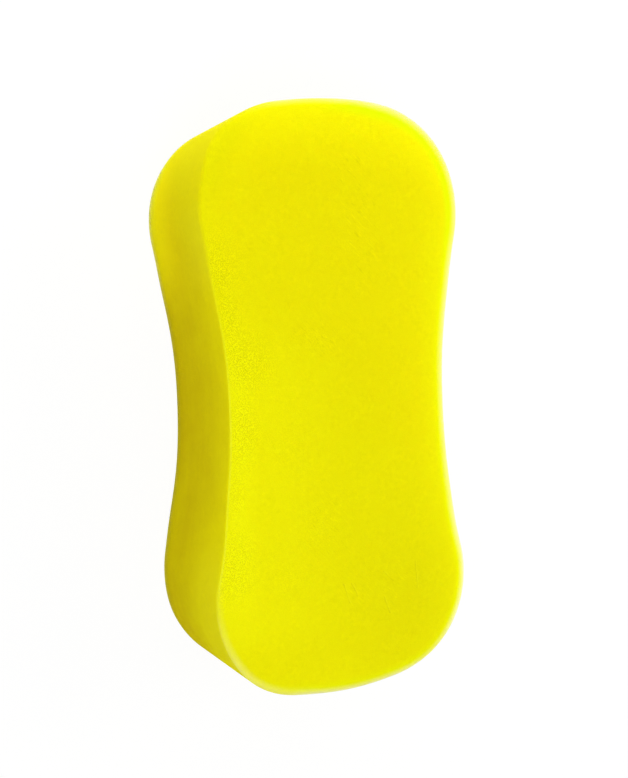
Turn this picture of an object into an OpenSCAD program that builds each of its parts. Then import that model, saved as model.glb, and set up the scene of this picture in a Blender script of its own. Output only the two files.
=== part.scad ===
// Cleaning sponge: one block of fine-celled foam, cut to a waisted outline
// that a hand can grip. Millimetres.
// The block lies on its back face at z = 0. +Y runs along its length, and the
// origin is the middle of the back face.

/* [Outline] */
// Length from end to end
length = 220; // [200:1:250]
// Width across the lobes, which is the widest place
lobe_w = 107.5; // [102:0.5:120]
// Width at the waist, halfway along
waist_w = 91; // [80:0.5:98]
// Radius of the four corners
corner_r = 39; // [32:0.5:43]
// Radius of the two bowed ends
end_r = 130; // [100:1:180]

/* [Section] */
// Thickness of the block, which is its height as it lies
thickness = 55; // [30:1:70]
// Radius of the softened cut edges
edge_r = 2; // [0.5:0.1:6]

/* [Hidden] */

// How far a flat may lie from the curve that it stands for
flat_error = 0.02;
// Bands that each softened edge is made of
edge_bands = 4;

// The outline is eight arcs, each tangent to the next: two bowed ends, four
// corners and two hollow sides. Their centres follow from the sizes above.
corner_x = lobe_w / 2 - corner_r;
end_y = length / 2 - end_r;
corner_y = end_y + sqrt(pow(end_r - corner_r, 2) - pow(corner_x, 2));
waist_reach = waist_w / 2 - corner_x;
waist_r = (pow(waist_reach, 2) + pow(corner_y, 2) - pow(corner_r, 2))
        / (2 * (corner_r - waist_reach));
waist_x = waist_w / 2 + waist_r;

// Half the angle that an end turns through, and half that of a hollow side
end_turn = asin(corner_x / (end_r - corner_r));
waist_turn = atan2(corner_y, waist_x - corner_x);

// Points along an arc without its last, with growth added to its radius.
// Their number depends on the plain radius alone, so all levels match.
function arc(centre, radius, growth, from, to) =
    let (steps = ceil(abs(to - from) / (2 * acos(1 - flat_error / radius))))
    [for (i = [0 : steps - 1])
        let (angle = from + (to - from) * i / steps)
        centre + (radius + growth) * [cos(angle), sin(angle)]];

// A quarter of the outline, moved inwards by inset: from the middle of the
// waist on +X, past the widest place, to the middle of the +Y end
function quarter_outline(inset) = concat(
    arc([waist_x, 0], waist_r, inset, 180, 180 - waist_turn),
    arc([corner_x, corner_y], corner_r, -inset, -waist_turn, 0),
    arc([corner_x, corner_y], corner_r, -inset, 0, 90 - end_turn),
    arc([0, end_y], end_r, -inset, 90 - end_turn, 90),
    [[0, length / 2 - inset]]);

// Steps in a quarter of the outline
quarter = len(quarter_outline(0)) - 1;

// The whole outline, anticlockwise seen from above, from the waist on +X
function outline(inset) =
    let (q = quarter_outline(inset))
    concat(
        [for (i = [0 : quarter - 1]) q[i]],
        [for (i = [quarter : -1 : 1]) [-q[i].x, q[i].y]],
        [for (i = [0 : quarter - 1]) -q[i]],
        [for (i = [quarter : -1 : 1]) [q[i].x, -q[i].y]]);

// Inset and height of each level, up one softened edge and over the other
low_levels = [for (i = [0 : edge_bands])
    let (angle = 90 * i / edge_bands)
    edge_r * [1 - sin(angle), 1 - cos(angle)]];
high_levels = [for (i = [edge_bands : -1 : 0])
    [low_levels[i][0], thickness - low_levels[i][1]]];
levels = concat(low_levels, high_levels);

module sponge() {
    points = [for (level = levels, p = outline(level[0])) [p.x, p.y, level[1]]];
    ring = 4 * quarter;
    walls = [for (level = [0 : len(levels) - 2], i = [0 : ring - 1])
        let (low = level * ring, high = low + ring, next = (i + 1) % ring)
        [high + i, high + next, low + next, low + i]];

    // A flat face is strips across the block, from the -Y end to the +Y end
    right = [for (i = [0 : 2 * quarter]) (3 * quarter + i) % ring];
    left = [for (i = [0 : 2 * quarter]) 3 * quarter - i];
    back = concat(
        [[right[0], right[1], left[1]]],
        [for (i = [1 : 2 * quarter - 2])
            [right[i], right[i + 1], left[i + 1], left[i]]],
        [[right[2 * quarter - 1], right[2 * quarter], left[2 * quarter - 1]]]);
    top = (len(levels) - 1) * ring;
    front = [for (face = back) [for (i = [len(face) - 1 : -1 : 0]) top + face[i]]];

    color("yellow") {
        polyhedron(points, concat(back, walls, front), convexity = 4);
        // The core between the two flat faces, which makes each of them whole
        linear_extrude(thickness) polygon(outline(edge_r));
    }
}

sponge();
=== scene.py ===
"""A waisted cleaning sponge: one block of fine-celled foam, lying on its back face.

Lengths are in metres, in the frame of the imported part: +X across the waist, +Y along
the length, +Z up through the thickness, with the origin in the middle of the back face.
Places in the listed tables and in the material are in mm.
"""

import math

import bpy
import numpy as np
from mathutils import Matrix, Vector, kdtree, noise
from mathutils.geometry import delaunay_2d_cdt


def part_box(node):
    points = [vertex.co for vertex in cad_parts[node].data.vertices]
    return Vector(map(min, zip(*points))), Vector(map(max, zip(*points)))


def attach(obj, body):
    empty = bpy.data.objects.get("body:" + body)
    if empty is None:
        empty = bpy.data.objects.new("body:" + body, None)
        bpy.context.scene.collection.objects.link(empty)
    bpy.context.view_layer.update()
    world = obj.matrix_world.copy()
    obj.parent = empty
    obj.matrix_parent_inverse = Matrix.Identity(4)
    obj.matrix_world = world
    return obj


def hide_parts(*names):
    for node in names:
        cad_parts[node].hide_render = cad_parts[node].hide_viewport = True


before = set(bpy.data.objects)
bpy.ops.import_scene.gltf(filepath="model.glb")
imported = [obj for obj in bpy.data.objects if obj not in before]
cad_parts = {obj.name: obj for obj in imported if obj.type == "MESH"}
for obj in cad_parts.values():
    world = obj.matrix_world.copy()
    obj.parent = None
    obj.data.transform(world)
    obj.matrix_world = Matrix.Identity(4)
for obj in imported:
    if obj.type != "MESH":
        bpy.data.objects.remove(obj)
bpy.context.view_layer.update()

MM = 0.001

# ---------------------------------------------------------------- sizes of the block
block_low, block_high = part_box("sponge")
LENGTH = block_high.y - block_low.y
LOBE_WIDTH = block_high.x - block_low.x
THICKNESS = block_high.z - block_low.z
WAIST_WIDTH = 91 * MM
CORNER_RADIUS = 39 * MM
END_RADIUS = 130 * MM
EDGE_RADIUS = 2 * MM
# Height in mm below which a point counts as near the back face
BACK_ZONE = 10

# ---------------------------------------------------------------- how fine the mesh is
SURFACE_STEP = 1.8 * MM
EDGE_BANDS = 5
SHARPEST_SMOOTH_ANGLE = math.radians(40)

# ---------------------------------------------------------------- what the cutter left uneven
# Places where the outline stands full (or, below zero, falls short), in mm: centre, reach, and
# the rise at the back face and at the front face
OUTLINE_SWELLS = (
    ((44, 98), 24, 1.6, 1.6),
    ((16, 110), 20, 1.2, 1.2),
    ((-12, 112), 20, 0.3, 0.3),
    ((-28, 108), 12, -0.4, 0.2),
    ((-46, 94), 15, -0.2, 1.4),
    ((-51, 82), 10, 0.0, -0.5),
    ((-50, 68), 24, -0.1, -1.1),
    ((-50, 46), 14, 0.5, 0.5),
    ((-46, 8), 26, -0.5, -1.0),
    ((-46, -20), 18, -0.3, -0.6),
    ((-49, -50), 16, 0.8, -1.3),
    ((-52, -70), 16, -0.4, -1.3),
    ((-48, -86), 12, 0.2, -0.6),
    ((-34, -104), 14, 1.1, 0.4),
    ((0, -110), 24, 0.4, 0.4),
    ((45, -92), 20, 0.8, 0.8),
    ((46, -32), 26, 0.5, 0.5),
    ((47, 42), 20, 0.5, 0.5),
    ((46, 20), 40, 0.5, 0.5),
)
# How far into a face an unevenness of the outline is felt
SWELL_DEPTH = 22 * MM
OUTLINE_WANDER = 0.12 * MM
FACE_WANDER = 0.14 * MM
# The faces fall a little towards their edges
EDGE_FALL = 0.45 * MM
EDGE_FALL_REACH = 5 * MM

# Places where the foam's cells lie open, in mm: centre, reach across and along, how thickly
OPEN_PATCHES = (
    ((-48, 49), (12, 14), 0.6),
    ((-44, 28), (7, 18), 0.65),
    ((-42, 15), (15, 12), 0.8),
    ((-44, -9), (9, 15), 0.95),
    ((-46, -27), (6, 13), 0.7),
    ((-50, -56), (12, 14), 0.9),
    ((-24, -14), (16, 18), 0.2),
    ((-12, 23), (14, 6), 0.25),
    ((-10, -46), (12, 12), 0.25),
    ((-26, -62), (16, 14), 0.22),
    ((6, 52), (12, 24), 0.12),
    ((10, -64), (12, 10), 0.12),
)
# Places where handling has scuffed the front face, in mm: centre, reach across and along, how much
SCUFFED_PATCHES = (
    ((8, 84), (10, 14), 0.8),
    ((10, 62), (8, 20), 1.2),
    ((-6, 24), (14, 9), 1.1),
    ((-8, -46), (14, 16), 0.9),
    ((4, -72), (9, 9), 0.9),
    ((22, -70), (12, 12), 0.9),
    ((-28, 64), (8, 12), 0.5),
)
# Scratches on the front face, in mm: from and to
SCRATCHES = (
    ((15.8, -76.6), (18.4, -83.2)),
    ((30.4, -64.6), (31.0, -75.4)),
    ((-1.4, -69.4), (1.0, -76.8)),
    ((2.0, -69.4), (4.4, -74.6)),
    ((16.2, -66.8), (17.2, -68.0)),
)

# ---------------------------------------------------------------- open cells
OPEN_CELL_GAP = 0.70 * MM
SMALLEST_CELL = 0.07 * MM
LARGEST_CELL = 0.11 * MM
OPEN_CELL_SEED = 4
# How thickly open cells lie on the walls, and outside the patches on the faces
WALL_CELLS = 0.006
FACE_CELLS = 0.008

# What each point of the mesh keeps for the material
MASKS = ("wall", "across edge", "painted edge sheen", "worn corner highlight", "scuffed", "open cells")

# ---------------------------------------------------------------- colours
LEMON = (0.845, 0.800, 0.002)
GOLD = (0.850, 0.773, 0.002)
# Painted light on the top end of the face
FACE_LIT_TOP = (0.900, 0.830, 0.002)
# Painted shade on the lower right of the face and at its top-left corner
FACE_SHADED = (0.800, 0.755, 0.002)
# The walls' ochre, deepest where painted shade falls and lightest where light is painted
WALL_DEEP = (0.645, 0.508, 0.002)
WALL_LIGHT = (0.82, 0.73, 0.002)
# Painted light round the far end of the walls
WALL_BRIGHT = (0.98, 0.83, 0.002)
WALL_LEMON = (0.75, 0.67, 0.003)
WALL_PALE = (0.80, 0.77, 0.03)
# Painted rim light near the cut edges: lime, and yellow to lime along the top
LIME = (0.840, 0.880, 0.002)
TOP_YELLOW = (0.915, 0.845, 0.002)
TOP_LIME = (0.750, 0.925, 0.002)
# Painted highlight colour for crisp edges, the lighter side of scratches and lit parts of the walls
BRIGHT_EDGE = (1.0, 0.98, 0.03)
# Painted highlight along the worn corner's edge
CORNER_PALE = (1.0, 0.96, 0.20)
# Painted sheen on the cut edges
PALE = (0.87, 0.87, 0.30)
PALEST = (1.0, 0.99, 0.45)
# Painted light along the base of the walls, as bounced from the floor
BASE_GLOW = (1.0, 0.98, 0.30)
# Painted shade in the pits, and the dark of scratch lines
CELL_SHADE = (0.45, 0.37, 0.002)
# Painted light towards the left edge of the face
FACE_LIT_LEFT = (1.0, 1.0, 0.004)

# ---------------------------------------------------------------- grain and finish
GRAIN_CELL = 0.45 * MM
# Height of the grain at which it neither lightens nor darkens the foam
GRAIN_MIDDLE = 0.50
# How strongly painted shade darkens the cells' mouths and painted light lightens their rims
GRAIN_RELIEF = 0.38
GRAIN_TONE = 0.04
GRAIN_EVERYWHERE = 0.08
MOTTLING = 0.14
SCUFF_STRENGTH = 0.10
# Painted shade in the cut pits
PIT_SHADE = 0.05
SCRATCH_HALF_WIDTH = 0.33 * MM
# The two sides of a scratch, the dark line partly painted groove shade and the lighter side a
# painted highlight: how far aside, its colour, and how strong
SCRATCH_SIDES = ((0.0, CELL_SHADE, 0.24), (0.5, BRIGHT_EDGE, 0.3))

# ---------------------------------------------------------------- camera and light
# Angles are in degrees, distances in metres, and the lens in mm
CAMERA_AZIMUTH = 26.3
CAMERA_ELEVATION = 4.08
CAMERA_ROLL = -1.95
CAMERA_DISTANCE = 0.4186
CAMERA_LENS = 48.947044
CAMERA_TARGET = Vector((0.00268, 0.0027, THICKNESS / 2))
FLOOR_HALF = 3.0
FLOOR_GAP = 0.1 * MM
FLOOR_COLOUR = 0.9
# How much of the floor's own shading the camera sees, on a floor that otherwise glows white
FLOOR_SEEN = 0.10
WORLD_STRENGTH = 0.30
# Each lamp: name, azimuth, elevation, power, distance and size
LAMPS = (
    ("far end lamp", 90, 12, 4.8, 1.2, 0.7),
    ("right side lamp", 0, 12, 7.1, 1.2, 0.7),
    ("fill", 240, 62, 7.0, 1.2, 0.7),
    ("right corner lamp", 45, 35, 0.28, 0.40, 0.2),
    ("left corner lamp", 130, 14, 0.22, 0.38, 0.15),
)


# ---------------------------------------------------------------- shape of the block
def ramp(value, low, high):
    """How far a value has gone from low to high, from 0 to 1."""
    return min(1.0, max(0.0, (value - low) / (high - low)))


def soft_noise(point, size, seed=0.0):
    """Smooth noise from about -1 to 1 whose swells are about size across."""
    return noise.noise(Vector(point) / size + Vector((seed, seed * 1.7, -seed)))


def outline_arcs():
    """The eight tangent arcs of the outline, anticlockwise: (centre, radius, bulge, from, to).

    bulge is 1 for an arc that swells outwards and -1 for a hollow side.
    """
    corner_x = LOBE_WIDTH / 2 - CORNER_RADIUS
    end_y = LENGTH / 2 - END_RADIUS
    corner_y = end_y + math.sqrt((END_RADIUS - CORNER_RADIUS) ** 2 - corner_x**2)
    reach = WAIST_WIDTH / 2 - corner_x
    waist_radius = (reach**2 + corner_y**2 - CORNER_RADIUS**2) / (2 * (CORNER_RADIUS - reach))
    waist_x = WAIST_WIDTH / 2 + waist_radius
    end_turn = math.asin(corner_x / (END_RADIUS - CORNER_RADIUS))
    waist_turn = math.atan2(corner_y, waist_x - corner_x)
    quarter, half = math.pi / 2, math.pi
    one_side = [
        ((waist_x, 0.0), waist_radius, -1, half + waist_turn, half - waist_turn),
        ((corner_x, corner_y), CORNER_RADIUS, 1, -waist_turn, quarter - end_turn),
        ((0.0, end_y), END_RADIUS, 1, quarter - end_turn, quarter + end_turn),
        ((-corner_x, corner_y), CORNER_RADIUS, 1, quarter + end_turn, half + waist_turn),
    ]
    turned = [((-c[0], -c[1]), r, bulge, a + half, b + half) for c, r, bulge, a, b in one_side]
    return one_side + turned


def outline_points():
    """Evenly spaced places round the outline: position and outward direction, one row each."""
    places, outward = [], []
    for centre, radius, bulge, start, end in outline_arcs():
        steps = round(abs(end - start) * radius / SURFACE_STEP)
        for angle in np.linspace(start, end, steps, endpoint=False):
            ray = np.array([math.cos(angle), math.sin(angle)])
            places.append(np.array(centre) + radius * ray)
            outward.append(bulge * ray)
    return np.array(places), np.array(outward)


def lattice_inside(ring):
    """Points of an even three-way lattice that lie inside a closed ring of points."""
    y0, y1 = ring[:, 1].min(), ring[:, 1].max()
    row_gap = SURFACE_STEP * math.sqrt(3) / 2
    rows = np.arange(y0 + row_gap / 2, y1, row_gap)
    ax, ay = ring.T
    bx, by = np.roll(ring, -1, axis=0).T
    points = []
    for k, y in enumerate(rows):
        crossing = (ay > y) != (by > y)
        cuts = np.sort(ax[crossing] + (y - ay[crossing]) * (bx - ax)[crossing] / (by - ay)[crossing])
        shift = SURFACE_STEP * (0.5 if k % 2 else 0.0)
        for left, right in cuts.reshape(-1, 2):
            first = math.ceil((left - shift) / SURFACE_STEP)
            last = math.floor((right - shift) / SURFACE_STEP)
            points += [(shift + i * SURFACE_STEP, y) for i in range(first, last + 1)]
    return np.array(points)


def edge_radii(places):
    """Radius of the soft cut edge round the outline: crisp on the left, wide at one worn corner."""
    radii = []
    for place in places:
        x, y = place / MM
        crisp = ramp(-x, 20, 40) * (1 - 0.5 * ramp(y, 45, 70))
        low_end = ramp(-y, 60, 100)
        worn = math.exp(-((np.hypot(x + 42, y + 94) / 18) ** 2))
        share = 1 - 0.7 * crisp - 0.3 * low_end * (1 - crisp) + 0.2 * worn
        share += 0.2 * soft_noise((*place, 0), 30 * MM, 3)
        radii.append(EDGE_RADIUS * share)
    return np.array(radii)


def outline_shift(place):
    """How far the outline stands out of its true line at a place, on the back and on the front."""
    wander = OUTLINE_WANDER * soft_noise((*place, 0), 28 * MM, 7)
    shift = np.array([wander, wander])
    for centre, reach, back_rise, front_rise in OUTLINE_SWELLS:
        away = np.hypot(*(place / MM - centre)) / reach
        shift += np.array([back_rise, front_rise]) * MM * math.exp(-(away**2))
    return shift


def wall_levels(edge):
    """Rings from the rim of the back face to the rim of the front face.

    Each ring has, for every place on the outline, its inset, its height and how far past the
    start of the nearer edge's rounding it lies, and then how much it belongs to the wall.
    """
    bends = np.linspace(0, math.pi / 2, EDGE_BANDS + 1)
    wall_rows = round((THICKNESS - 2 * EDGE_RADIUS) / SURFACE_STEP)
    levels = []
    for bend in bends:
        height = edge * (1 - math.cos(bend))
        levels.append((edge * (1 - math.sin(bend)), height, edge * bend, math.sin(bend)))
    for share in np.linspace(0, 1, wall_rows + 1)[1:-1]:
        beyond = (THICKNESS - 2 * edge) * min(share, 1 - share)
        height = edge + (THICKNESS - 2 * edge) * share
        levels.append((edge * 0, height, edge * math.pi / 2 + beyond, 1.0))
    for bend in bends[::-1]:
        height = THICKNESS - edge * (1 - math.cos(bend))
        levels.append((edge * (1 - math.sin(bend)), height, edge * bend, math.sin(bend)))
    return levels


def flat_triangles(rim, lattice):
    """Triangles between a rim and the lattice inside it, as numbers along the rim and then on."""
    count = len(rim)
    points = [Vector(p) for p in np.vstack([rim, lattice])]
    loop = [(i, (i + 1) % count) for i in range(count)]
    found, _, triangles, origins, _, _ = delaunay_2d_cdt(points, loop, [], 1, 1e-9)
    assert len(found) == len(points)
    return [[origins[k][0] for k in triangle] for triangle in triangles]


def nearest_places(verts, places):
    """For every point, the number of the nearest place on the outline in plan, and how far it is."""
    tree = kdtree.KDTree(len(places))
    for i, place in enumerate(places):
        tree.insert((*place, 0), i)
    tree.balance()
    nearest = [tree.find((v[0], v[1], 0)) for v in verts]
    return np.array([hit[1] for hit in nearest]), np.array([hit[2] for hit in nearest])


def made_uneven(verts, places, outward, index, inwards):
    """The points with a wandering outline, and faces that swell and fall towards their edges."""
    height_share = verts[:, 2] / THICKNESS
    shifts = np.array([outline_shift(place) for place in places])[index]
    full = shifts[:, 0] + (shifts[:, 1] - shifts[:, 0]) * height_share
    felt = np.exp(-((inwards / SWELL_DEPTH) ** 2))
    moved = verts.copy()
    moved[:, :2] += outward[index] * (full * felt)[:, None]
    for k, v in enumerate(verts):
        swell = FACE_WANDER * soft_noise(v, 24 * MM, 5)
        fall = EDGE_FALL * math.exp(-inwards[k] / EDGE_FALL_REACH)
        moved[k, 2] += height_share[k] * (swell - fall)
    # The back face only lifts, so that the block lies flat
    moved[:, 2] = np.maximum(moved[:, 2], 0.0)
    return moved


def block_mesh():
    """The foam block as one closed mesh, with its masks of walls, cut edges and open cells."""
    places, outward = outline_points()
    count = len(places)
    edge = edge_radii(places)

    # The rings of the walls and of both cut edges
    levels = wall_levels(edge)
    verts, wall, across, faces = [], [], [], []
    for inset, height, past, side in levels:
        ring = places - outward * inset[:, None]
        verts.append(np.column_stack([ring, height]))
        wall.append(np.full(count, side))
        across.append(past)
    for level in range(len(levels) - 1):
        low, high = level * count, (level + 1) * count
        for i in range(count):
            j = (i + 1) % count
            faces.append((low + i, low + j, high + j, high + i))

    # The flat faces inside the first and the last ring
    lattice = lattice_inside(places - outward * (edge + 0.8 * SURFACE_STEP)[:, None])
    triangles = flat_triangles(places - outward * edge[:, None], lattice)
    ring_points = len(levels) * count
    for first, height, facing in ((0, 0.0, -1), (ring_points - count, THICKNESS, 1)):
        start = sum(len(v) for v in verts)
        number = [first + k for k in range(count)] + [start + k for k in range(len(lattice))]
        verts.append(np.column_stack([lattice, np.full(len(lattice), height)]))
        wall.append(np.zeros(len(lattice)))
        for triangle in triangles:
            corners = [number[k] for k in triangle]
            faces.append(tuple(corners[::facing]))

    verts, wall = np.vstack(verts), np.concatenate(wall)
    index, inwards = nearest_places(verts, places)
    # Distance across the nearer cut edge: below zero on the flat face, and above zero from where
    # its rounding starts
    on_flat = slice(ring_points, None)
    across = np.concatenate(across + [edge[index[on_flat]] - inwards[on_flat]])
    moved = made_uneven(verts, places, outward, index, inwards)

    mesh = bpy.data.meshes.new("foam block")
    mesh.from_pydata(moved.tolist(), [], faces)
    in_front = verts[:, 2] > THICKNESS / 2
    masks = {
        "wall": wall,
        "across edge": across,
        "painted edge sheen": np.array([painted_edge_sheen(v) for v in verts]),
        "worn corner highlight": np.array([worn_corner_highlight(v) for v in verts]),
        "scuffed": np.array([patch_share(v, SCUFFED_PATCHES, 31) for v in verts]) * in_front,
        "open cells": np.array([open_cell_density(*row) for row in zip(verts, wall, inwards)]),
    }
    for name in MASKS:
        store = mesh.attributes.new(name, "FLOAT", "POINT")
        store.data.foreach_set("value", masks[name].astype(np.float32))
    mesh.update()
    return mesh


def painted_edge_sheen(point):
    """How strongly painted sheen pales the cut edge near a point, from 0 to about 1."""
    x, y, z = point / MM
    left = ramp(-x, 22, 40)
    back = 0.0
    if z < BACK_ZONE:
        back = 0.4 + 0.6 * ramp(y, 50, 80)
    end = 0.35 * math.exp(-(((x + 12) / 22) ** 2) - (((y - 110) / 20) ** 2))
    worn = max((1 - left) * (1.1 - end), back * left)
    if z < BACK_ZONE:
        worn *= 0.45
    return worn * (1 + 0.3 * soft_noise(point, 12 * MM, 17))


def worn_corner_highlight(point):
    """How strongly a painted highlight lies along the one worn corner of the front face near a
    point, from 0 to 1.
    """
    x, y, z = point / MM
    if z < BACK_ZONE:
        return 0.0
    worn = math.exp(-(((x + 41) / 18) ** 2) - (((y + 98) / 21) ** 2))
    return 0.7 * worn * (1 + 0.2 * soft_noise(point, 9 * MM, 23))


def patch_share(point, patches, seed):
    """How far a point lies in one of some soft-edged, uneven patches, from 0 to 1."""
    share = 0.0
    for centre, reach, most in patches:
        away = np.hypot(*((point[:2] / MM - centre) / reach))
        share = max(share, most * math.exp(-(away**2)))
    share *= 0.9 + 0.4 * soft_noise(point, 7 * MM, seed)
    return min(1.0, max(0.0, share))


def open_cell_density(point, wall, inwards):
    """How thickly cut-open cells lie at a point, from 0 to 1."""
    if wall > 0.3:
        return WALL_CELLS
    # None lie right on the rim, and the back face has fewer than the front
    thick = min(1.0, 1.25 * patch_share(point, OPEN_PATCHES, 11)) * ramp(inwards, 0.0, 0.8 * MM)
    if point[2] < THICKNESS / 2:
        thick *= 0.4
    return max(FACE_CELLS, thick)


# ---------------------------------------------------------------- nodes
def set_socket(tree, socket, value):
    """Link another socket's value to a socket, or set the socket to a plain value."""
    if isinstance(value, bpy.types.NodeSocket):
        tree.links.new(value, socket)
    elif isinstance(value, tuple) and len(socket.default_value) == 4:
        socket.default_value = (*value, 1)
    else:
        socket.default_value = value


def add_node(tree, kind, settings=(), **inputs):
    """A new node: settings are (property, value) pairs, and inputs name sockets to set or link."""
    made = tree.nodes.new(kind)
    for name, value in settings:
        setattr(made, name, value)
    for name, value in inputs.items():
        set_socket(tree, made.inputs[name.replace("_", " ")], value)
    return made


def add_sockets(tree, in_out, **kinds):
    """Named inputs or outputs for a node group, each with its kind, such as Float or Vector."""
    for name, kind in kinds.items():
        socket_type = "NodeSocket" + kind
        tree.interface.new_socket(name.replace("_", " "), in_out=in_out, socket_type=socket_type)


def math_node(tree, operation, *values, clamp=False):
    """The result of a Math node on sockets or numbers."""
    made = tree.nodes.new("ShaderNodeMath")
    made.operation = operation
    made.use_clamp = clamp
    for socket, value in zip(made.inputs, values):
        set_socket(tree, socket, value)
    return made.outputs[0]


def vector_node(tree, operation, *values, result="Vector"):
    """The result of a Vector Math node on sockets or vectors."""
    made = tree.nodes.new("ShaderNodeVectorMath")
    made.operation = operation
    for socket, value in zip(made.inputs, values):
        set_socket(tree, socket, value)
    return made.outputs[result]


def smooth_step(tree, value, low, high, start=0.0, end=1.0):
    """A soft step of a value: start at low, end at high."""
    made = tree.nodes.new("ShaderNodeMapRange")
    made.interpolation_type = "SMOOTHSTEP"
    tree.links.new(value, made.inputs["Value"])
    for name, number in (("From Min", low), ("From Max", high), ("To Min", start), ("To Max", end)):
        made.inputs[name].default_value = number
    return made.outputs["Result"]


def mix_colour(tree, share, first, second, blend="MIX"):
    """Two colours, each a socket or red, green and blue, mixed by a share."""
    made = tree.nodes.new("ShaderNodeMix")
    made.data_type = "RGBA"
    made.blend_type = blend
    for k, value in ((0, share), (6, first), (7, second)):
        set_socket(tree, made.inputs[k], value)
    return made.outputs[2]


def open_cells_tree():
    """Geometry Nodes that sink open cells into a mesh where its "open cells" attribute asks."""
    tree = bpy.data.node_groups.new("open cells", "GeometryNodeTree")
    add_sockets(
        tree, "INPUT", Geometry="Geometry", Smallest_Cell="Float", Largest_Cell="Float",
        Cell_Gap="Float", Seed="Int", Foam="Material",
    )
    add_sockets(tree, "OUTPUT", Geometry="Geometry")
    take = tree.nodes.new("NodeGroupInput").outputs
    give = tree.nodes.new("NodeGroupOutput").inputs
    block = take["Geometry"]

    def attribute(name):
        settings = [("data_type", "FLOAT")]
        return add_node(tree, "GeometryNodeInputNamedAttribute", settings, Name=name).outputs[0]

    points = add_node(
        tree, "GeometryNodeDistributePointsOnFaces", [("distribute_method", "POISSON")],
        Mesh=block, Distance_Min=take["Cell Gap"],
        Density_Max=math_node(tree, "POWER", take["Cell Gap"], -2.0),
        Density_Factor=attribute("open cells"), Seed=take["Seed"],
    )
    cell = add_node(tree, "GeometryNodeMeshIcoSphere", Radius=1.0, Subdivisions=1)
    size = add_node(tree, "FunctionNodeRandomValue", Seed=take["Seed"])
    tree.links.new(take["Smallest Cell"], size.inputs[2])
    tree.links.new(take["Largest Cell"], size.inputs[3])
    whirl = [("data_type", "FLOAT_VECTOR")]
    turn = add_node(tree, "FunctionNodeRandomValue", whirl, Seed=take["Seed"])
    turn.inputs[1].default_value = (math.tau, math.tau, math.tau)
    placed = add_node(
        tree, "GeometryNodeInstanceOnPoints",
        Points=points.outputs["Points"], Instance=cell.outputs["Mesh"],
        Rotation=turn.outputs[0], Scale=size.outputs[1],
    )
    cells = add_node(tree, "GeometryNodeRealizeInstances", Geometry=placed.outputs[0]).outputs[0]
    cut = add_node(
        tree, "GeometryNodeMeshBoolean", [("operation", "DIFFERENCE"), ("solver", "MANIFOLD")],
        Mesh_1=block, Mesh_2=cells,
    )
    result = cut.outputs["Mesh"]

    # The masks come back from the uncut block, with the depth below its surface
    stored = {}
    for name in MASKS:
        mask = attribute(name)
        sample = add_node(tree, "GeometryNodeSampleNearestSurface", Mesh=block, Value=mask)
        stored[name] = sample.outputs[0]
    stored["pit depth"] = add_node(tree, "GeometryNodeProximity", Target=block).outputs["Distance"]
    for name, value in stored.items():
        store = add_node(
            tree, "GeometryNodeStoreNamedAttribute", Geometry=result, Name=name, Value=value
        )
        result = store.outputs[0]
    whole = add_node(tree, "GeometryNodeRealizeInstances", Geometry=result).outputs[0]
    finished = add_node(tree, "GeometryNodeSetMaterial", Geometry=whole, Material=take["Foam"])
    tree.links.new(finished.outputs[0], give["Geometry"])
    return tree


def with_open_cells(mesh, material):
    """The block's mesh with its open cells cut, as a plain mesh."""
    mesh.materials.append(material)
    carrier = bpy.data.objects.new("uncut block", mesh)
    bpy.context.scene.collection.objects.link(carrier)
    tree = open_cells_tree()
    modifier = carrier.modifiers.new("open cells", "NODES")
    modifier.node_group = tree
    values = {
        "Smallest Cell": SMALLEST_CELL,
        "Largest Cell": LARGEST_CELL,
        "Cell Gap": OPEN_CELL_GAP,
        "Seed": OPEN_CELL_SEED,
        "Foam": material,
    }
    for item in tree.interface.items_tree:
        if item.item_type == "SOCKET" and item.in_out == "INPUT" and item.name in values:
            modifier[item.identifier] = values[item.name]
    evaluated = carrier.evaluated_get(bpy.context.evaluated_depsgraph_get())
    cut_mesh = bpy.data.meshes.new_from_object(evaluated)
    bpy.data.objects.remove(carrier)
    return cut_mesh


# ---------------------------------------------------------------- material
def foam_cells_group():
    """Cells cut across: how open each is at a place, its own tone, and the height of its rims."""
    group = bpy.data.node_groups.new("foam cells", "ShaderNodeTree")
    add_sockets(group, "INPUT", Vector="Vector", Cell_Size="Float")
    add_sockets(group, "OUTPUT", Mouth="Float", Tone="Float", Height="Float")
    take = group.nodes.new("NodeGroupInput").outputs
    give = group.nodes.new("NodeGroupOutput").inputs
    scaled = vector_node(group, "SCALE", take["Vector"])
    per_metre = math_node(group, "DIVIDE", 1.0, take["Cell Size"])
    group.links.new(per_metre, scaled.node.inputs["Scale"])
    # Uneven cells, turned so that no row of them runs along a face
    turned = add_node(
        group, "ShaderNodeVectorRotate", [("rotation_type", "EULER_XYZ")],
        Vector=scaled, Rotation=(0.62, 0.48, 0.90),
    )
    cells = add_node(
        group, "ShaderNodeTexVoronoi", [("feature", "F1")],
        Vector=turned.outputs[0], Scale=1.0, Randomness=0.8,
    )
    shade = add_node(group, "ShaderNodeSeparateColor", Color=cells.outputs["Color"])
    # A mouth's depth differs a little from cell to cell
    depth = smooth_step(group, shade.outputs[0], 0.0, 1.0, 0.85, 1.0)
    mouth = smooth_step(group, cells.outputs["Distance"], 0.2, 0.8, 1.0, 0.0)
    mouth = math_node(group, "MULTIPLY", mouth, depth)
    group.links.new(mouth, give["Mouth"])
    group.links.new(math_node(group, "SUBTRACT", shade.outputs[1], 0.5), give["Tone"])
    group.links.new(math_node(group, "SUBTRACT", 1.0, mouth), give["Height"])
    return group


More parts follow.
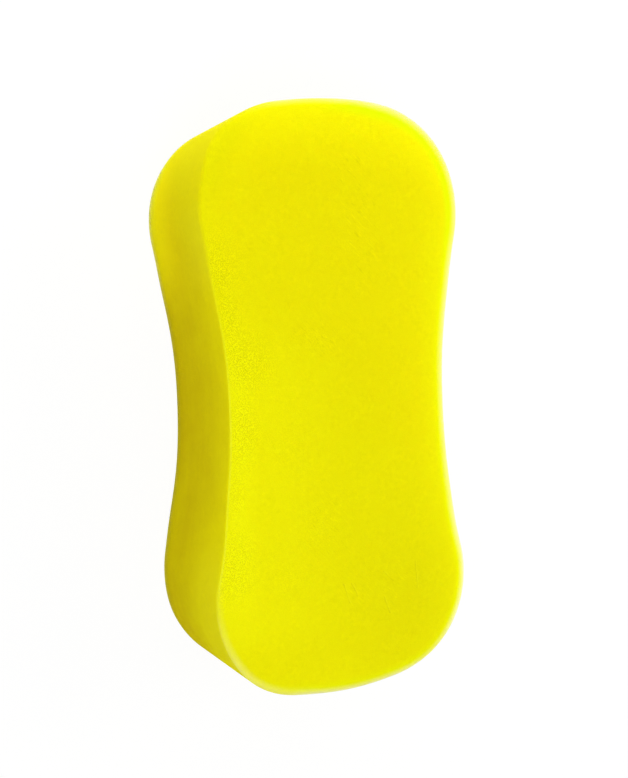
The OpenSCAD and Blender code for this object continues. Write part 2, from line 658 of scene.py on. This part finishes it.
def scratch_group():
    """How near a place seen in plan lies to the line between two points, from 0 to 1 on the line."""
    group = bpy.data.node_groups.new("scratch", "ShaderNodeTree")
    add_sockets(group, "INPUT", Vector="Vector", From="Vector", To="Vector", Half_Width="Float")
    add_sockets(group, "OUTPUT", Mark="Float")
    take = group.nodes.new("NodeGroupInput").outputs
    give = group.nodes.new("NodeGroupOutput").inputs
    flat = vector_node(group, "MULTIPLY", take["Vector"], (1, 1, 0))
    along = vector_node(group, "SUBTRACT", take["To"], take["From"])
    reach = vector_node(group, "SUBTRACT", flat, take["From"])
    reach_along = vector_node(group, "DOT_PRODUCT", reach, along, result="Value")
    length_squared = vector_node(group, "DOT_PRODUCT", along, along, result="Value")
    share = math_node(group, "DIVIDE", reach_along, length_squared, clamp=True)
    foot = vector_node(group, "MULTIPLY", along, share)
    away = vector_node(group, "DISTANCE", reach, foot, result="Value")
    away = math_node(group, "DIVIDE", away, take["Half Width"])
    group.links.new(smooth_step(group, away, 0.3, 1.0, 1.0, 0.0), give["Mark"])
    return group


class FoamNodes:
    """The foam material's nodes, with short names for what its colours are mixed from."""

    def __init__(self, tree):
        self.tree = tree
        self.place = tree.nodes.new("ShaderNodeTexCoord").outputs["Object"]
        self.x, self.y, self.z = add_node(tree, "ShaderNodeSeparateXYZ", Vector=self.place).outputs
        self.wall = self.mask("wall")
        self.across = self.mask("across edge")
        # wear holds how strongly painted sheen pales the cut edge
        self.wear = self.mask("painted edge sheen")
        self.opened = self.step(self.mask("open cells"), 0.0, 1.0)

    def mask(self, name):
        """One of the masks that the mesh keeps."""
        settings = [("attribute_name", name)]
        return add_node(self.tree, "ShaderNodeAttribute", settings).outputs["Fac"]

    def step(self, value, low, high, start=0.0, end=1.0):
        """A soft step between two values."""
        return smooth_step(self.tree, value, low, high, start, end)

    def fade(self, value, low, high, start=0.0, end=1.0):
        """A soft step between two places given in mm."""
        return smooth_step(self.tree, value, low * MM, high * MM, start, end)

    def product(self, first, *others):
        """Values multiplied together."""
        for other in others:
            first = math_node(self.tree, "MULTIPLY", first, other)
        return first

    def total(self, first, *others, clamp=False):
        """Values added together."""
        for other in others:
            first = math_node(self.tree, "ADD", first, other, clamp=clamp)
        return first

    def larger(self, first, second):
        """The larger of two values."""
        return math_node(self.tree, "MAXIMUM", first, second)

    def slanting(self, share):
        """Distance along the length plus a share of the distance across."""
        return self.total(self.y, self.product(self.x, share))

    def vector(self, x, y, z=0.0):
        """A vector of three values."""
        return add_node(self.tree, "ShaderNodeCombineXYZ", X=x, Y=y, Z=z).outputs[0]

    def cloud(self, size, detail=2.0, shift=0.0, vector=None):
        """Soft noise from about -0.5 to 0.5 whose swells are about size mm across."""
        made = add_node(
            self.tree, "ShaderNodeTexNoise", [("noise_dimensions", "4D")],
            Vector=vector or self.place, W=shift, Scale=1 / (size * MM), Detail=detail,
            Roughness=0.55,
        )
        return math_node(self.tree, "SUBTRACT", made.outputs[0], 0.5)

    def mix(self, share, first, second, blend="MIX"):
        """Two colours mixed by a share."""
        return mix_colour(self.tree, share, first, second, blend)

    def group(self, node_group, **inputs):
        """The outputs of a node group with its inputs set or linked."""
        settings = [("node_tree", node_group)]
        return add_node(self.tree, "ShaderNodeGroup", settings, **inputs).outputs


def face_colour(nodes):
    """The faces: warmer towards one end and one side, with painted light towards the top end and the
    left edge, and painted shade on the lower right and at the top-left corner.
    """
    x, y, across = nodes.x, nodes.y, nodes.across
    wander = nodes.product(nodes.cloud(18), 60 * MM)
    far = nodes.fade(nodes.total(y, wander), 55, 85)
    aside = nodes.fade(nodes.total(nodes.slanting(1.2), wander), -25, 45)
    aside = nodes.product(aside, nodes.fade(x, 32, 44, 0.8, 0.0))
    golden = nodes.total(nodes.larger(far, aside), nodes.cloud(5, 3.0, 11.0), clamp=True)
    colour = nodes.mix(golden, LEMON, GOLD)
    # Painted light: the top end of the face lighter
    top_light = nodes.larger(nodes.fade(y, 78, 106), nodes.fade(nodes.slanting(0.6), 96, 122))
    colour = nodes.mix(top_light, colour, FACE_LIT_TOP)
    # Painted light: lighter towards the left, most beside the left edge
    beside = nodes.product(nodes.fade(x, -46, -32, 0.48, 0.0), nodes.fade(y, -80, -45, 0.3, 1.0))
    lighter = nodes.total(nodes.fade(x, -30, 8, 0.22, 0.0), beside)
    lighter = nodes.product(lighter, nodes.fade(y, -98, -78), nodes.fade(y, 0, 42, 1.0, 0.05))
    colour = nodes.mix(lighter, colour, FACE_LIT_LEFT)
    # Painted shade: deeper on the lower right and at the top-left corner by the edge
    deeper = nodes.product(nodes.fade(x, -5, 30), nodes.fade(y, -100, -10, 0.9, 0.0))
    corner = nodes.product(
        nodes.fade(across, -12, -2), nodes.fade(y, 62, 85), nodes.fade(x, -42, -24, 1.0, 0.0)
    )
    return nodes.mix(nodes.larger(deeper, corner), colour, FACE_SHADED)


def wall_colour(nodes):
    """The walls: ochre, with painted shade deepest at the waist and towards the back face, and lemon
    round the far end.
    """
    x, y, z = nodes.x, nodes.y, nodes.z
    # Painted light and shade: lighter towards the front face and the low end, and a little along the
    # low lobe; the uneven swells and streaks are tone that differs at random
    height_light = nodes.product(nodes.fade(z, 16, 56, 0.0, 0.75), nodes.fade(y, 58, 88, 1.0, 0.1))
    end_light = nodes.product(nodes.fade(y, -100, -30, 1.0, 0.0), nodes.fade(z, 10, 54))
    low_lobe = nodes.product(
        nodes.fade(y, -45, -15, 0.14, 0.0), nodes.fade(y, -90, -60), nodes.fade(z, 3, 16, 2.0, 1.0)
    )
    stretched = nodes.vector(nodes.product(x, 0.12), nodes.product(y, 0.12), z)
    uneven = nodes.product(nodes.cloud(14, 3.0, 2.0), 0.7)
    streaks = nodes.product(nodes.cloud(5, 2.0, 4.0, stretched), 0.35)
    light = nodes.total(height_light, nodes.total(end_light, low_lobe), uneven, streaks, 0.07)
    colour = nodes.mix(light, WALL_DEEP, WALL_LIGHT)
    # Painted light round the far end, brighter and brightest along its base, and then more lemon
    # there
    painted_end_light = nodes.product(nodes.fade(y, 30, 59), nodes.fade(z, 0, 43, 1.0, 0.0))
    colour = nodes.mix(painted_end_light, colour, WALL_BRIGHT)
    lemon_end = nodes.total(y, nodes.product(z, 0.9))
    colour = nodes.mix(nodes.fade(lemon_end, 82, 120), colour, WALL_LEMON)
    colour = nodes.mix(nodes.fade(y, 97, 110), colour, WALL_PALE)
    # Painted light near the back face on the left of the far lobe, as bounced from the floor
    back_light = nodes.product(
        nodes.fade(z, 0, 10, 0.95, 0.0), nodes.fade(y, 52, 82), nodes.fade(x, -30, -15, 1.0, 0.0)
    )
    colour = nodes.mix(back_light, colour, BRIGHT_EDGE)
    # Painted light: both lobes brighten towards the front face
    far_lobe = nodes.product(nodes.fade(y, 36, 52), nodes.fade(y, 60, 76, 0.1, 0.0))
    near_lobe = nodes.product(nodes.fade(y, -62, -44, 0.1, 0.0), nodes.fade(y, -104, -84))
    lobes = nodes.total(far_lobe, near_lobe)
    return nodes.mix(nodes.product(lobes, nodes.fade(z, 22, 52)), colour, BRIGHT_EDGE)


def with_mottling(nodes, colour):
    """The colour with fine mottling, and here and there short scuffs that run slantwise."""
    patchy = nodes.step(nodes.cloud(7, 2.0, 5.0), -0.12, 0.12, 0.3, 1.3)
    mottling = nodes.product(nodes.cloud(1.7, 3.0, 9.0), patchy, MOTTLING)
    along = nodes.product(math_node(nodes.tree, "SUBTRACT", nodes.x, nodes.y), 0.18)
    sideways = nodes.total(nodes.x, nodes.y)
    stroke = nodes.cloud(0.8, 1.0, 7.0, nodes.vector(along, sideways, nodes.z))
    light_side = nodes.step(stroke, -0.24, -0.08, 1.0, 0.0)
    dark_side = nodes.step(stroke, 0.08, 0.24)
    stroke = math_node(nodes.tree, "SUBTRACT", light_side, dark_side)
    scuffs = nodes.product(stroke, nodes.mask("scuffed"), SCUFF_STRENGTH)
    return nodes.mix(1.0, colour, nodes.total(scuffs, mottling, 1.0), "MULTIPLY")


def edge_reach(nodes):
    """Masks of the faces with their cut edges, narrower on the left, and of all but the left."""
    right = nodes.fade(nodes.x, -36, -18)
    down_the_wall = nodes.total(nodes.across, nodes.fade(nodes.x, 30, 46, 0.0, 0.5 * MM))
    wide = nodes.product(nodes.fade(down_the_wall, 2.4, 3.6, 1.0, 0.0), right)
    return nodes.larger(wide, nodes.fade(nodes.across, 0.4, 2.2, 1.0, 0.0)), right


def with_painted_rim_light(nodes, colour, reach):
    """The colour with painted rim light, more lime near the cut edges and clearest at the top
    corner, and a painted highlight along crisp edges.
    """
    x, y, across = nodes.x, nodes.y, nodes.across
    # Painted rim light, lime near the cut edges
    rim_glow = nodes.product(nodes.fade(across, -4.5, 0.5), reach, nodes.wear)
    top = nodes.mix(nodes.fade(x, -20, 30), TOP_YELLOW, TOP_LIME)
    lime = nodes.mix(nodes.fade(y, 50, 90), LIME, top)
    colour = nodes.mix(rim_glow, colour, lime)
    # Painted rim light, clearest at the top corner
    corner = nodes.fade(nodes.slanting(1.2), 95, 140)
    brightest_rim_glow = nodes.product(nodes.fade(across, -6, -1), reach, corner)
    colour = nodes.mix(brightest_rim_glow, colour, TOP_LIME)
    crisp = math_node(nodes.tree, "SUBTRACT", 1.0, nodes.wear, clamp=True)
    # Painted highlight along crisp edges
    edge_highlight = nodes.product(
        nodes.fade(across, -0.5, -0.15), nodes.fade(across, 0.1, 0.5, 1.0, 0.0), crisp,
        nodes.fade(y, -30, 72, 0.6, 0.0), nodes.fade(y, -80, -60),
    )
    return nodes.mix(edge_highlight, colour, BRIGHT_EDGE)


def with_grain(nodes, colour, grain):
    """The colour with the grain of the open cells, painted shade in their mouths and lighter rims,
    and painted shade in the pits.
    """
    strength = nodes.total(nodes.product(nodes.opened, 1 - GRAIN_EVERYWHERE), GRAIN_EVERYWHERE)
    # Painted shade in the cells' mouths and painted light on their rims
    rims = math_node(nodes.tree, "SUBTRACT", grain["Height"], GRAIN_MIDDLE)
    cell_tone = nodes.product(grain["Tone"], GRAIN_TONE)
    relief = nodes.total(nodes.product(rims, GRAIN_RELIEF), cell_tone)
    tone = nodes.total(nodes.product(relief, strength), 1.0)
    colour = nodes.mix(1.0, colour, tone, "MULTIPLY")
    # Painted shade in the cut pits
    sunk = nodes.step(nodes.mask("pit depth"), 0.02 * MM, 0.25 * MM)
    return nodes.mix(nodes.product(sunk, PIT_SHADE), colour, CELL_SHADE)


def with_scratches(nodes, colour):
    """The colour with fine scratches that waver and break off, each a dark line, partly painted
    groove shade, with a painted highlight on its lighter side.
    """
    wavering = nodes.total(nodes.x, nodes.product(nodes.cloud(2.5), 1.6 * MM))
    unsteady = nodes.vector(wavering, nodes.y)
    broken = nodes.step(nodes.cloud(1.4), -0.16, 0.14, 0.25, 1.0)
    front = nodes.product(nodes.fade(nodes.z, 40, 50), broken)
    for start, end in SCRATCHES:
        for offset, paint, share in SCRATCH_SIDES:
            scratch = nodes.group(
                scratches_group, Vector=unsteady, Half_Width=SCRATCH_HALF_WIDTH,
                From=((start[0] + offset) * MM, start[1] * MM, 0),
                To=((end[0] + offset) * MM, end[1] * MM, 0),
            )
            colour = nodes.mix(nodes.product(scratch["Mark"], front, share), colour, paint)
    return colour


def with_painted_edge_sheen(nodes, colour, reach, right):
    """The colour with painted sheen on the cut edges, a painted highlight on the one worn corner,
    and painted light along the base.
    """
    x, y, z, across = nodes.x, nodes.y, nodes.z, nodes.across
    # Painted sheen on the cut edges
    narrow = nodes.product(nodes.fade(y, 85, 105), nodes.fade(x, 5, 32, -1.3 * MM, 0.0))
    narrow = nodes.total(narrow, nodes.fade(y, -105, -92, -0.7 * MM, 0.0))
    band = nodes.fade(nodes.total(across, narrow), -2.2, 2.0)
    pale = nodes.product(band, reach, nodes.wear, right)
    colour = nodes.mix(pale, colour, nodes.mix(nodes.fade(y, -85, -40), PALEST, PALE))
    down = nodes.larger(
        nodes.fade(across, 0.2, 1.8, 1.0, 0.0), nodes.fade(across, 0.5, 8, 0.06, 0.0)
    )
    # Painted highlight along the worn corner's edge
    worn = nodes.product(nodes.fade(across, -2.6, 0.2), down, nodes.mask("worn corner highlight"))
    colour = nodes.mix(worn, colour, CORNER_PALE)
    # Painted light along the base of the left walls, as bounced from the floor
    base_glow = nodes.product(
        nodes.fade(z, 0.2, 4.5, 1.0, 0.0), nodes.fade(x, -36, -24, 1.0, 0.0),
        nodes.fade(y, 20, 85, 0.12, 0.7), nodes.wall,
    )
    return nodes.mix(base_glow, colour, BASE_GLOW)


def foam_material():
    """Yellow foam: coloured by place, by how near its cut edges lie and by its open cells, with
    light and shade painted into the colour.
    """
    material = bpy.data.materials.new("yellow foam")
    material.use_nodes = True
    tree = material.node_tree
    links = tree.links
    nodes = FoamNodes(tree)
    colour = nodes.mix(nodes.wall, face_colour(nodes), wall_colour(nodes))
    colour = with_mottling(nodes, colour)
    reach, right = edge_reach(nodes)
    colour = with_painted_rim_light(nodes, colour, reach)
    grain = nodes.group(cells_group, Vector=nodes.place, Cell_Size=GRAIN_CELL)
    colour = with_grain(nodes, colour, grain)
    colour = with_scratches(nodes, colour)
    colour = with_painted_edge_sheen(nodes, colour, reach, right)

    bsdf = tree.nodes["Principled BSDF"]
    links.new(colour, bsdf.inputs["Base Color"])
    height = nodes.product(grain["Height"], nodes.step(nodes.opened, 0.0, 1.0, 0.35, 1.0))
    bump = add_node(tree, "ShaderNodeBump", Strength=0.5, Distance=0.25 * MM, Height=height)
    links.new(bump.outputs[0], bsdf.inputs["Normal"])
    links.new(nodes.step(grain["Mouth"], 0.0, 1.0, 0.82, 0.98), bsdf.inputs["Roughness"])
    bsdf.inputs["Specular IOR Level"].default_value = 0.01
    bsdf.inputs["Subsurface Weight"].default_value = 0.7
    bsdf.inputs["Subsurface Radius"].default_value = (0.9, 1.0, 0.1)
    bsdf.inputs["Subsurface Scale"].default_value = 0.02
    return material


cells_group = foam_cells_group()
scratches_group = scratch_group()
yellow_foam = foam_material()
foam_mesh = with_open_cells(block_mesh(), yellow_foam)
foam_mesh.name = "foam block"
foam_mesh.shade_smooth()
foam_mesh.set_sharp_from_angle(angle=SHARPEST_SMOOTH_ANGLE)
foam = bpy.data.objects.new("foam_block", foam_mesh)
bpy.context.scene.collection.objects.link(foam)


# ---------------------------------------------------------------- camera
def look_from(azimuth, elevation, roll, distance, lens, target):
    """The scene's camera; azimuth turns from straight above towards -X, elevation towards +Y."""
    az, el, tip = map(math.radians, (azimuth, elevation, roll))
    back = Vector((-math.sin(az) * math.cos(el), math.sin(el), math.cos(az) * math.cos(el)))
    right = Vector((0, 1, 0)).cross(back).normalized()
    up = back.cross(right)
    level_right = right * math.cos(tip) + up * math.sin(tip)
    level_up = up * math.cos(tip) - right * math.sin(tip)
    camera = bpy.data.objects.new("camera", bpy.data.cameras.new("camera"))
    bpy.context.scene.collection.objects.link(camera)
    camera.data.lens = lens
    camera.location = target + back * distance
    turn = Matrix((level_right, level_up, back)).transposed()
    camera.rotation_mode = "QUATERNION"
    camera.rotation_quaternion = turn.to_quaternion()
    camera.data.clip_start = 0.01
    camera.data.clip_end = 20
    bpy.context.scene.camera = camera


look_from(
    CAMERA_AZIMUTH, CAMERA_ELEVATION, CAMERA_ROLL, CAMERA_DISTANCE, CAMERA_LENS, CAMERA_TARGET
)


# ---------------------------------------------------------------- floor and light
def finish_by_ray(tree, lighting, seen, output):
    """End a tree: one shader for rays that light, another for camera, glossy and glass rays."""
    path = tree.nodes.new("ShaderNodeLightPath").outputs
    seen_directly = math_node(tree, "MAXIMUM", path["Is Camera Ray"], path["Is Glossy Ray"])
    seen_directly = math_node(tree, "MAXIMUM", seen_directly, path["Is Transmission Ray"])
    mix = tree.nodes.new("ShaderNodeMixShader")
    for socket, value in zip(mix.inputs, (seen_directly, lighting, seen)):
        tree.links.new(value, socket)
    tree.links.new(mix.outputs[0], tree.nodes.new(output).inputs["Surface"])


def emptied_tree(owner):
    """The node tree of a material or a world, with no nodes in it."""
    owner.use_nodes = True
    owner.node_tree.nodes.clear()
    return owner.node_tree


def floor_material():
    """White in the picture with a faint shadow, and plain pale for the light that it returns."""
    material = bpy.data.materials.new("floor")
    tree = emptied_tree(material)
    lit = add_node(tree, "ShaderNodeBsdfDiffuse", Color=(FLOOR_COLOUR,) * 3)
    shaded = add_node(tree, "ShaderNodeBsdfDiffuse", Color=(FLOOR_SEEN,) * 3)
    glow = add_node(tree, "ShaderNodeEmission", Strength=1 - FLOOR_SEEN * FLOOR_COLOUR)
    both = tree.nodes.new("ShaderNodeAddShader")
    tree.links.new(shaded.outputs[0], both.inputs[0])
    tree.links.new(glow.outputs[0], both.inputs[1])
    finish_by_ray(tree, lit.outputs[0], both.outputs[0], "ShaderNodeOutputMaterial")
    return material


floor_mesh = bpy.data.meshes.new("floor")
half = FLOOR_HALF
floor_corners = [(-half, -half, 0), (half, -half, 0), (half, half, 0), (-half, half, 0)]
floor_mesh.from_pydata(floor_corners, [], [(0, 1, 2, 3)])
floor_mesh.materials.append(floor_material())
floor = bpy.data.objects.new("floor", floor_mesh)
floor.location.z = -FLOOR_GAP
bpy.context.scene.collection.objects.link(floor)

world = bpy.data.worlds.new("studio")
bpy.context.scene.world = world
world_tree = emptied_tree(world)
sky = add_node(world_tree, "ShaderNodeBackground", Color=(1, 1, 1), Strength=WORLD_STRENGTH)
white = add_node(world_tree, "ShaderNodeBackground", Color=(1, 1, 1), Strength=1.0)
finish_by_ray(world_tree, sky.outputs[0], white.outputs[0], "ShaderNodeOutputWorld")


def softbox(name, azimuth, elevation, power, distance, size):
    """A round soft lamp aimed at the middle of the block; azimuth turns from +X towards +Y."""
    az, el = math.radians(azimuth), math.radians(elevation)
    middle = Vector((0, 0, THICKNESS / 2))
    direction = Vector((math.cos(az) * math.cos(el), math.sin(az) * math.cos(el), math.sin(el)))
    light = bpy.data.lights.new(name, "AREA")
    light.shape = "DISK"
    light.size = size
    light.energy = power
    lamp = bpy.data.objects.new(name, light)
    lamp.location = middle + direction * distance
    lamp.visible_camera = False
    lamp.rotation_euler = (-direction).to_track_quat("-Z", "Y").to_euler()
    bpy.context.scene.collection.objects.link(lamp)


for lamp_values in LAMPS:
    softbox(*lamp_values)

bpy.context.scene.view_settings.view_transform = "Standard"

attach(foam, "root")
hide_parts("sponge")
